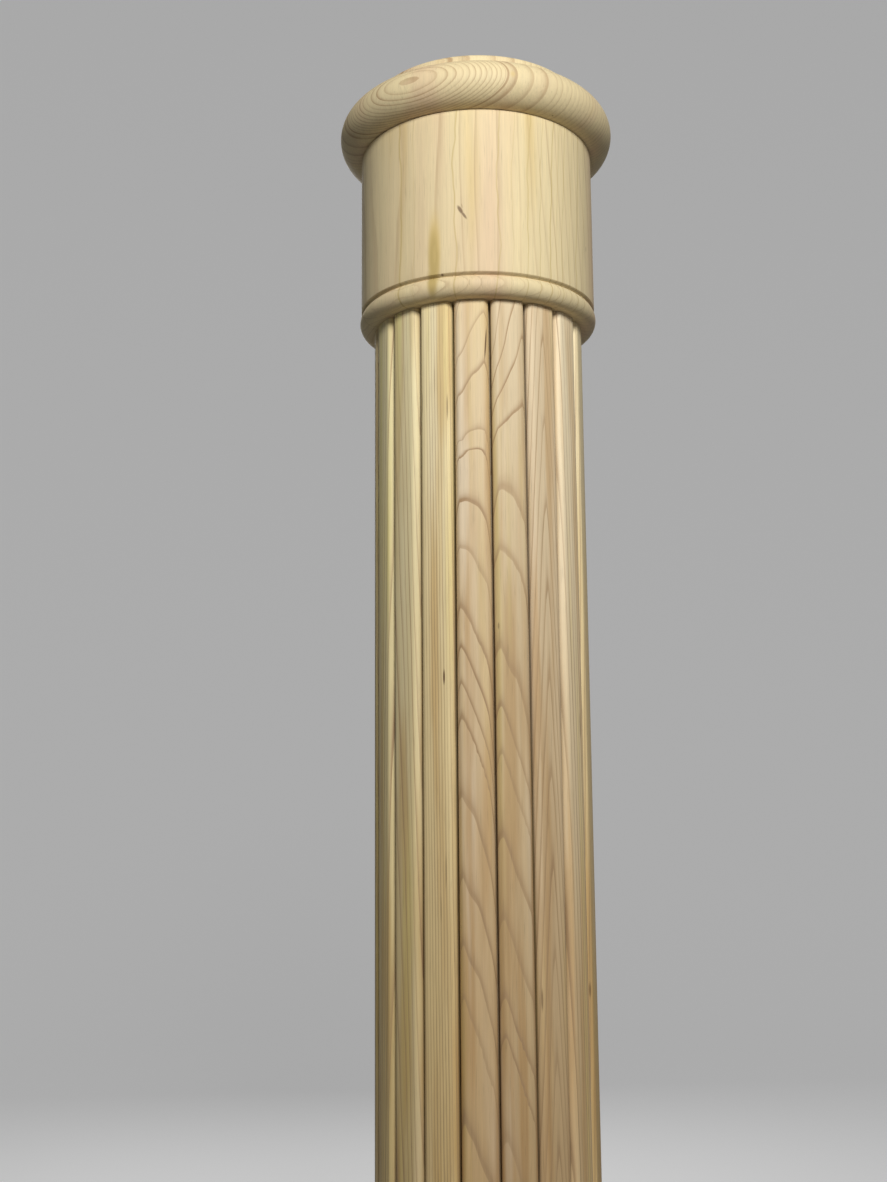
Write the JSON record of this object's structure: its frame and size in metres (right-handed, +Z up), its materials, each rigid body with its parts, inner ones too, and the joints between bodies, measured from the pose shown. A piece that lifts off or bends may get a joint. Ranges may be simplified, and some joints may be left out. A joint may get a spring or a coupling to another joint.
{
  "type": "newel post",
  "caption": "Round wooden newel post with a reeded shaft, a plain turned collar over a bead, a bullnosed cap and a plain foot block.",
  "frame": {"origin": "centre of the foot block's flat underside, which stands on the floor", "axes": "+Z up along the post's axis, -Y is the side the picture shows"},
  "size_m": [0.2036, 0.2036, 1.2191],
  "materials": {
    "cap_wood": "bare sanded pale hardwood, matt",
    "collar_wood": "bare sanded pale hardwood, matt",
    "shaft_wood": "bare sanded pale hardwood with a pinkish cast, matt",
    "foot_wood": "bare sanded pale hardwood, matt"
  },
  "bodies": {
    "root": {"cap": "cap_wood", "collar": "collar_wood", "reeded_shaft": "shaft_wood", "foot_block": "foot_wood"}
  },
  "joints": []
}
